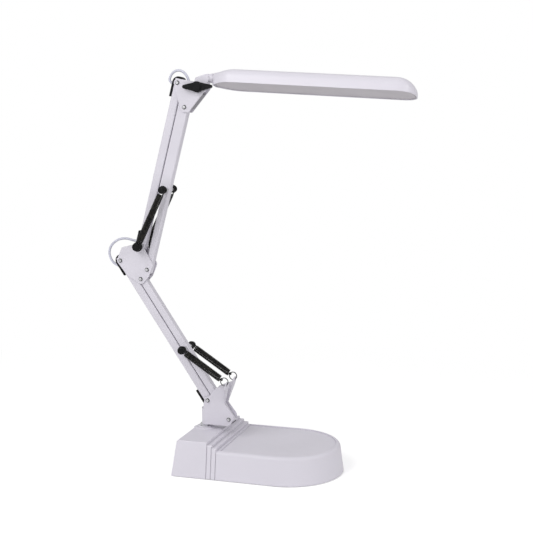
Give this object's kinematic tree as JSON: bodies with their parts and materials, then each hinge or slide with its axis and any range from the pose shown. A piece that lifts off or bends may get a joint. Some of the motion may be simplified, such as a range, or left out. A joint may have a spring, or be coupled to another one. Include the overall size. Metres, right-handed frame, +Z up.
{
  "type": "folding desk lamp",
  "caption": "Folding desk lamp with spring-balanced parallelogram arms on a weighted tray base and a long LED shade on a tilting, turning neck.",
  "frame": {"origin": "where the swivel axis of the arms meets the surface the lamp stands on", "axes": "+X from the rear of the base to its round front, +Y away from the viewer, +Z up along the swivel axis"},
  "size_m": [0.451, 0.1578, 0.566],
  "materials": {
    "pale_paint": "satin",
    "pale_plastic": "satin",
    "black_plastic": "satin",
    "black_wire": "gloss",
    "bright_steel": "bright",
    "panel_white": "matt",
    "board_green": "satin",
    "board_white": "matt",
    "chip_yellow": "gloss",
    "cable_grey": "satin",
    "foam": "matt",
    "iron": "rough",
    "bush_white": "satin"
  },
  "bodies": {
    "base": {"foam_pad": "foam", "bottom_plate": "bright_steel", "ballast": "iron", "base_housing": "pale_plastic", "base_screws": "bright_steel", "swivel_bush": "bush_white", "driver_board": "board_green", "driver_spacers": "bush_white", "rear_panel": "black_plastic", "inlet_socket": "black_plastic", "switch_body": "black_plastic"},
    "rocker": {"switch_rocker": "black_plastic"},
    "foot": {"foot_bracket": "pale_paint", "swivel_post": "bright_steel", "swivel_nut": "bright_steel", "foot_sleeves": "bright_steel", "foot_screws": "bright_steel", "spring_rings": "bright_steel"},
    "lower_rear": {"lower_rear_bar": "pale_paint", "lower_rear_caps": "black_plastic", "lower_cable": "cable_grey"},
    "lower_front": {"lower_front_bar": "pale_paint", "lower_front_plugs": "black_plastic", "lower_spring_pin": "bright_steel", "lower_pin_caps": "black_plastic", "lower_spring_near": "black_wire", "lower_spring_far": "black_wire"},
    "elbow": {"elbow_near_plate": "pale_paint", "elbow_far_plate": "pale_paint", "elbow_sleeves": "bright_steel", "elbow_screws": "bright_steel", "elbow_pin": "bright_steel", "elbow_pin_caps": "black_plastic", "elbow_cable_loop": "cable_grey"},
    "upper_rear": {"upper_rear_bar": "pale_paint", "upper_rear_caps": "black_plastic", "upper_cable": "cable_grey"},
    "upper_front": {"upper_front_bar": "pale_paint", "upper_front_plugs": "black_plastic", "upper_spring_pin": "bright_steel", "upper_pin_caps": "black_plastic", "upper_spring_near": "black_wire", "upper_spring_far": "black_wire"},
    "head_bracket": {"head_near_plate": "pale_paint", "head_far_plate": "pale_paint", "head_sleeves": "bright_steel", "head_screws": "bright_steel", "top_cable_loop": "cable_grey", "friction_washers": "black_plastic", "clamp_bolt": "bright_steel"},
    "knob": {"wing_knob": "black_plastic"},
    "neck": {"head_neck": "pale_paint"},
    "shade": {"shade_collar": "bright_steel", "shade_shell": "pale_plastic", "light_panel": "panel_white", "board_posts": "bush_white", "led_board": "board_white", "led_screws": "bright_steel", "led_chips": "chip_yellow"}
  },
  "joints": [
    {"name": "base_swivel", "type": "hinge", "parent": "base", "child": "foot", "pos_m": [0, 0, 0.0575], "axis": [0, 0, 1], "range_deg": [-170, 170]},
    {"name": "power_switch", "type": "hinge", "parent": "base", "child": "rocker", "pos_m": [-0.01579, 0.039, 0.023], "axis": [0, 0, 1], "range_deg": [0, 14]},
    {"name": "lower_rear_pivot", "type": "hinge", "parent": "foot", "child": "lower_rear", "pos_m": [0.0076, 0, 0.0934], "axis": [0, 1, 0], "range_deg": [-1, 70]},
    {"name": "lower_front_pivot", "type": "hinge", "parent": "foot", "child": "lower_front", "pos_m": [0.0396, 0, 0.0674], "axis": [0, 1, 0], "range_deg": [-1, 70], "deforming": ["lower_spring_near", "lower_spring_far"]},
    {"name": "elbow_pivot", "type": "hinge", "parent": "lower_rear", "child": "elbow", "pos_m": [-0.12661, 0, 0.29237], "axis": [0, 1, 0], "range_deg": [-70, 1], "deforming": ["elbow_cable_loop"]},
    {"name": "upper_rear_pivot", "type": "hinge", "parent": "elbow", "child": "upper_rear", "pos_m": [-0.09461, 0, 0.31437], "axis": [0, 1, 0], "range_deg": [-1.2, 75]},
    {"name": "upper_front_pivot", "type": "hinge", "parent": "elbow", "child": "upper_front", "pos_m": [-0.08461, 0, 0.28037], "axis": [0, 1, 0], "range_deg": [-1.2, 75], "deforming": ["upper_spring_near", "upper_spring_far"]},
    {"name": "head_pivot", "type": "hinge", "parent": "upper_rear", "child": "head_bracket", "pos_m": [-0.03411, 0, 0.54662], "axis": [0, 1, 0], "range_deg": [-75, 1.2], "deforming": ["top_cable_loop"]},
    {"name": "head_tilt", "type": "hinge", "parent": "head_bracket", "child": "neck", "pos_m": [-0.00311, 0, 0.54012], "axis": [0, 1, 0], "range_deg": [-60, 25]},
    {"name": "head_roll", "type": "hinge", "parent": "neck", "child": "shade", "pos_m": [0.01439, 0, 0.55212], "axis": [0.9978, 0, -0.0663], "range_deg": [-80, 80]},
    {"name": "wing_knob_turn", "type": "hinge", "parent": "head_bracket", "child": "knob", "pos_m": [-0.00311, -0.014, 0.54012], "axis": [0, 1, 0], "continuous": true}
  ],
  "couplings": [
    {"joint": "lower_front_pivot", "follows": "lower_rear_pivot", "ratio": 1},
    {"joint": "elbow_pivot", "follows": "lower_rear_pivot", "ratio": -1},
    {"joint": "upper_front_pivot", "follows": "upper_rear_pivot", "ratio": 1},
    {"joint": "head_pivot", "follows": "upper_rear_pivot", "ratio": -1}
  ]
}
